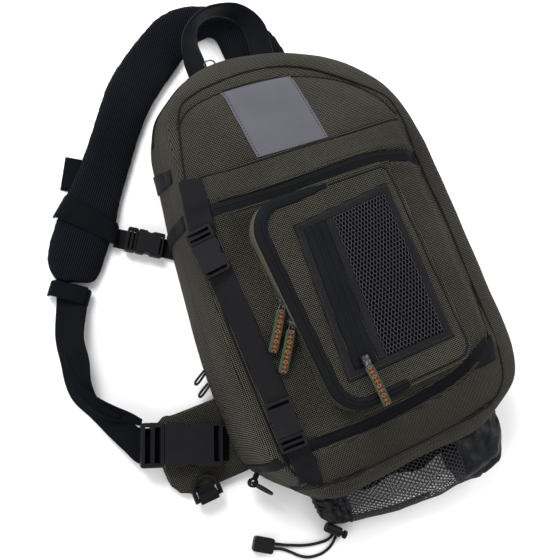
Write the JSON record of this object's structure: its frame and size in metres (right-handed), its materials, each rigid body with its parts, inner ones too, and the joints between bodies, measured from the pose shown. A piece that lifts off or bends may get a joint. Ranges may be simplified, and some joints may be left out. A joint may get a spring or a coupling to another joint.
{
  "type": "fishing tackle sling bag",
  "caption": "Padded sling bag for fishing tackle with a raised net front pocket, side compression strap, shoulder strap with waist wing, carry handle and a drawcord net pouch.",
  "frame": {"origin": "centre of the back panel's outer face, which rests on the surface", "axes": "+X to the right and +Y towards the bag's top as seen from its front, +Z out of the front"},
  "size_m": [0.4304, 0.5968, 0.1402],
  "materials": {
    "ballistic_weave": "heavy olive grey woven nylon",
    "webbing": "ribbed charcoal webbing",
    "zip_tape": "charcoal tape over a coil zip",
    "spacer_mesh": "near black padded mesh",
    "black_nylon": "thin shiny nylon",
    "net": "soft knitted net",
    "reflective": "grey reflective sheet",
    "plastic": "satin moulded plastic",
    "zip_metal": "dark painted metal",
    "pull_tape": "woven patterned tape",
    "cord": "braided cord"
  },
  "bodies": {
    "bag": {"back_panel": "spacer_mesh", "rear_shell": "ballistic_weave", "front_shell": "ballistic_weave", "upper_zip_tape": "zip_tape", "lower_zip_tape": "zip_tape", "rear_zip_tape": "zip_tape", "rear_zip_pull": "zip_metal", "reflective_patch": "reflective", "pocket_shell": "ballistic_weave", "pocket_zip_tape": "zip_tape", "mesh_binding": "webbing", "mesh_zip_tape": "zip_tape", "mesh_net": "net", "upper_buckle_latch": "plastic", "upper_buckle_body": "plastic", "lower_buckle_latch": "plastic", "lower_buckle_body": "plastic", "strap_anchor_top": "webbing", "compression_webbing": "webbing", "strap_anchor_bottom": "webbing", "gusset_band": "webbing", "gusset_webbing": "webbing", "shoulder_strap": "spacer_mesh", "strap_crossband": "webbing", "strap_tail": "webbing", "waist_wing": "ballistic_weave", "wide_buckle_latch": "plastic", "wide_buckle_body": "plastic", "wing_webbing": "webbing", "shoulder_webbing": "webbing", "strap_keeper": "webbing", "stab_buckle_latch": "plastic", "stab_buckle_body": "plastic", "stab_webbing_strap": "webbing", "stab_webbing_bag": "webbing", "carry_handle": "webbing", "d_ring_loop": "webbing", "ring_tab": "webbing", "side_loop_1": "cord", "side_loop_2": "cord", "pouch_hem": "black_nylon", "pouch_fabric": "black_nylon", "net_pouch": "net", "cord_lock": "plastic", "drawcord_upper": "cord", "drawcord_lower": "cord", "cord_end": "plastic", "zip_slider_1": "zip_metal", "zip_pull_1": "pull_tape", "zip_slider_2": "zip_metal", "zip_pull_2": "pull_tape", "zip_slider_3": "zip_metal", "zip_pull_3": "pull_tape"},
    "d_ring": {"d_ring": "plastic"},
    "tab_ring": {"tab_ring": "plastic"},
    "lock_button": {"cord_lock_button": "plastic"}
  },
  "joints": [
    {"name": "d_ring_hinge", "type": "hinge", "parent": "bag", "child": "d_ring", "pos_m": [-0.19177, -0.17808, 0.0147], "axis": [1, 0, 0], "range_deg": [0, 160]},
    {"name": "tab_ring_hinge", "type": "hinge", "parent": "bag", "child": "tab_ring", "pos_m": [-0.14874, -0.18305, 0.024], "axis": [0, 0, 1], "range_deg": [-100, 12]},
    {"name": "lock_button_slide", "type": "slide", "parent": "bag", "child": "lock_button", "axis": [-0.6919, 0.722, 0], "range_m": [0, 0.0035], "stiffness_N_per_m": 300, "springref_m": -0.002}
  ]
}
